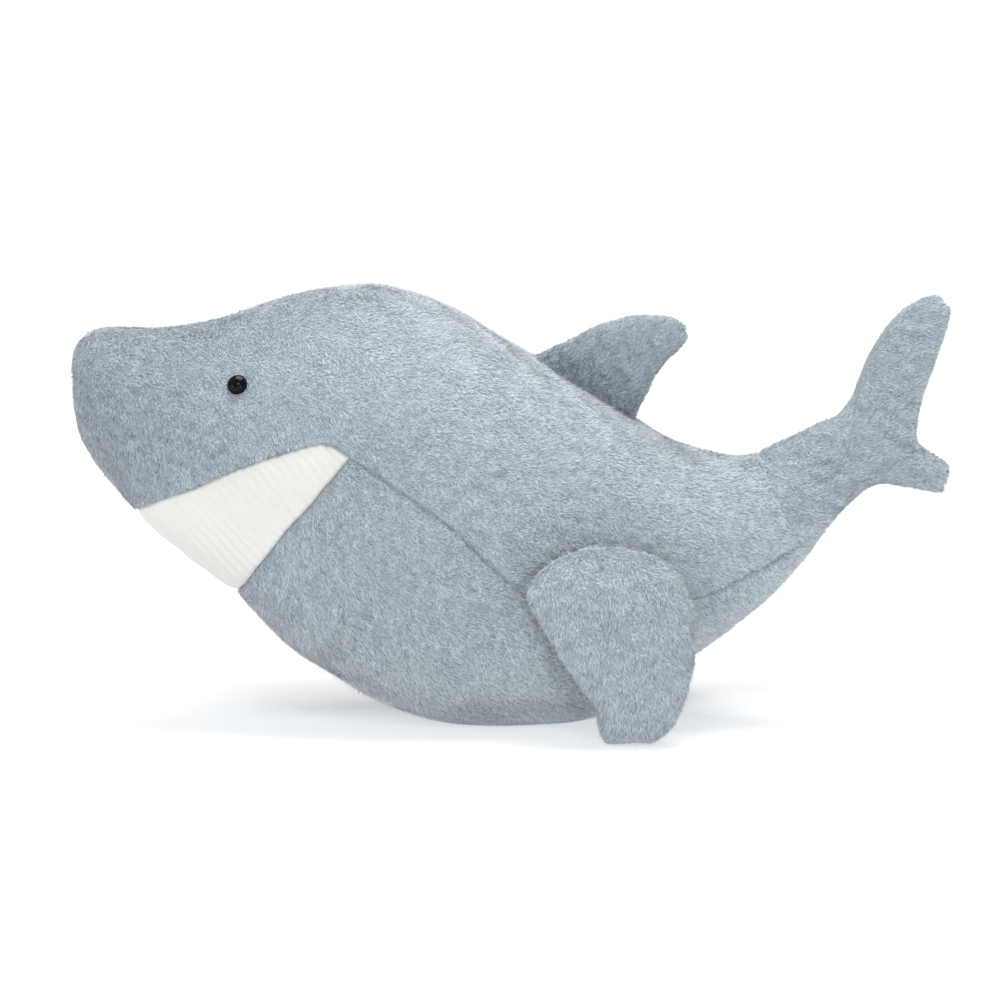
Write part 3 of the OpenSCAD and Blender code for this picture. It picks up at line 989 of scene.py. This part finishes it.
def build_body_filling():
    """The body's filling, inside the fabric and a little lumpier."""
    inset = 4.5
    row, angle = np.meshgrid(np.linspace(NOSE_ROW, TAIL_ROW, 90), np.linspace(0, 180, 40), indexing="ij")
    half = body_skin(row, angle)
    base = np.concatenate([half, half[:, -2::-1] * [1, -1, 1]], 1)
    points, _ = stuffed(base, RIGHT, lambda p: relief(p) + 0.5 * waves(p, 9, 6), inset)
    middle = points.mean(1, keepdims=True)
    ends = [middle[:1].repeat(points.shape[1], 1), points, middle[-1:].repeat(points.shape[1], 1)]
    filling = grid_object("body_stuffing", np.concatenate(ends, 0), RIGHT, FILLING)
    finish_piece("body_filling")
    bending(filling)


def build_fin_fillings():
    """The fillings of the fins and the tail: their forms, smaller and a good deal thinner."""
    fins = [
        ("dorsal_fin", DORSAL, on("dorsal_fin"), False, 0.45),
        ("left_fin", PECTORAL, on("left_fin"), False, 0.7),
        ("right_fin", PECTORAL, on("right_fin"), True, 0.7),
        ("tail", TAIL, bending, False, 0.7),
    ]
    for name, fin, hold, mirror, thinner in fins:
        near, far = (fin_grid(fin, face, 40, 24, None) for face in (LEFT, RIGHT))
        loop = np.concatenate([near, far[:, ::-1]], 1)
        core = loop.mean(1, keepdims=True)
        points = core + (loop - core) * [0.88, thinner, 0.88]
        points = points[2:-7]
        if mirror:
            points = points * [1, -1, 1]
        piece = grid_object(f"{name}_stuffing", points, LEFT if mirror else RIGHT, FILLING)
        finish_piece(f"{name}_filling")
        hold(piece)


def build_pouch():
    """The pellet pouch, low in the middle of the body."""
    radius, half_height, place = 41, 14, [10, 0, 21]
    up, turn = np.meshgrid(np.linspace(0, math.pi, 30), np.linspace(0, 2 * math.pi, 61), indexing="ij")
    ball = np.stack([np.sin(up) * np.cos(turn), np.sin(up) * np.sin(turn), -np.cos(up)], -1)
    lumps = 1 + 0.03 * waves(ball * 40, 12, 7)
    points = ball * [radius, radius, half_height] * lumps[..., None] + place
    pouch = grid_object("pellet_pouch", points, RIGHT, POUCH)
    finish_piece("bean_pouch")
    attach(pouch, "body")


def dress_washers():
    """The eyes' lock washers are the CAD's own nodes, in white plastic."""
    for name in ("left", "right"):
        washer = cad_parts[f"eye_washer_{name}"]
        washer.data.materials.clear()
        washer.data.materials.append(WASHER_PLASTIC)


# ---------------------------------------------------------------------------------------------
# Floor, light and camera
# ---------------------------------------------------------------------------------------------


def build_floor():
    """A wide pale floor, of the studio and not of the toy."""
    half = 20.0
    corners = [(-half, -half, 0), (half, -half, 0), (half, half, 0), (-half, half, 0)]
    mesh = bpy.data.meshes.new("floor")
    mesh.from_pydata(corners, [], [(0, 1, 2, 3)])
    floor = bpy.data.objects.new("floor", mesh)
    bpy.context.scene.collection.objects.link(floor)
    material = textured("floor", 900.0, [(0.3, grey(0.47)), (0.7, grey(0.49))], (0.75, 0.85), 0.0)
    add_painted_glow(material)
    mesh.materials.append(material)


def near_to_far(tree, centre, reach, near, far):
    """A value that goes from near at the centre to far at one reach from it."""
    place = node(tree, "ShaderNodeTexCoord").outputs["Object"]
    for operation, vector in (("SUBTRACT", centre), ("DIVIDE", reach)):
        step_on = node(tree, "ShaderNodeVectorMath", operation=operation)
        step_on.inputs[1].default_value = vector
        tree.links.new(place, step_on.inputs[0])
        place = step_on.outputs["Vector"]
    length = node(tree, "ShaderNodeVectorMath", operation="LENGTH")
    tree.links.new(place, length.inputs[0])
    spread = node(tree, "ShaderNodeMapRange", interpolation_type="SMOOTHSTEP")
    spread.inputs["To Min"].default_value = near
    spread.inputs["To Max"].default_value = far
    tree.links.new(length.outputs["Value"], spread.inputs["Value"])
    return spread.outputs["Result"]


def add_painted_glow(material):
    """The floor glows as painted light, which whitens it and lights the toy from below: less round the toy,
    and least just behind it, as painted shadow.
    """
    tree = material.node_tree
    shader = tree.nodes["Principled BSDF"]
    shader.inputs["Emission Color"].default_value = (0.95, 0.975, 1.0, 1)
    glow = near_to_far(tree, (0, 0, 0), (1.5, 1.5, 1), 0.58, 0.9)
    # Painted shadow: the glow is taken down most just behind the toy.
    shade = near_to_far(tree, (0, 0.115, 0), (0.42, 0.13, 1), -0.5, 0)
    total = node(tree, "ShaderNodeMath", operation="ADD")
    tree.links.new(glow, total.inputs[0])
    tree.links.new(shade, total.inputs[1])
    tree.links.new(total.outputs["Value"], shader.inputs["Emission Strength"])


TOY_MIDDLE = Vector((0, 0, 0.12))


def area_light(name, place, size, power):
    """A square lamp that faces the toy's middle: place and size in metres, power in watts."""
    data = bpy.data.lights.new(name, "AREA")
    data.shape = "RECTANGLE"
    data.size = data.size_y = size
    data.energy = power
    lamp = bpy.data.objects.new(name, data)
    lamp.location = place
    lamp.rotation_euler = (TOY_MIDDLE - Vector(place)).to_track_quat("-Z", "Y").to_euler()
    bpy.context.scene.collection.objects.link(lamp)


def build_light():
    """A bright white studio: even light all round, a large lamp overhead and small ones in front."""
    world = bpy.data.worlds.new("studio")
    bpy.context.scene.world = world
    world.use_nodes = True
    background = world.node_tree.nodes["Background"]
    background.inputs["Color"].default_value = (1.0, 1.0, 1.0, 1)
    background.inputs["Strength"].default_value = 0.62
    area_light("overhead", (0.1, 0.2, 1.9), 1.4, 42)
    area_light("front", (-0.15, -1.6, 1.2), 0.4, 7.5)
    area_light("left", (-1.9, -1.1, 0.35), 0.33, 4.5)
    area_light("right", (0.65, -2.0, 0.35), 0.33, 6)


def build_camera():
    """The photograph's view: level with the toy's left side, from a little above."""
    data = bpy.data.cameras.new("camera")
    data.lens, data.sensor_width = 500, 36
    width = 0.55
    reach = width * data.lens / data.sensor_width
    elevation = math.radians(8)
    target = Vector((-0.0074, 0, 0.122))
    camera = bpy.data.objects.new("camera", data)
    camera.location = target + reach * Vector((0, -math.cos(elevation), math.sin(elevation)))
    camera.rotation_euler = (target - camera.location).to_track_quat("-Z", "Y").to_euler()
    bpy.context.scene.collection.objects.link(camera)
    bpy.context.scene.camera = camera


build_side(LEFT)
build_side(RIGHT)
build_belly()
build_mouth()
build_fins()
build_eyes()
build_body_filling()
build_fin_fillings()
build_pouch()
dress_washers()
build_floor()
build_light()
build_camera()
bpy.context.scene.view_settings.view_transform = "Standard"
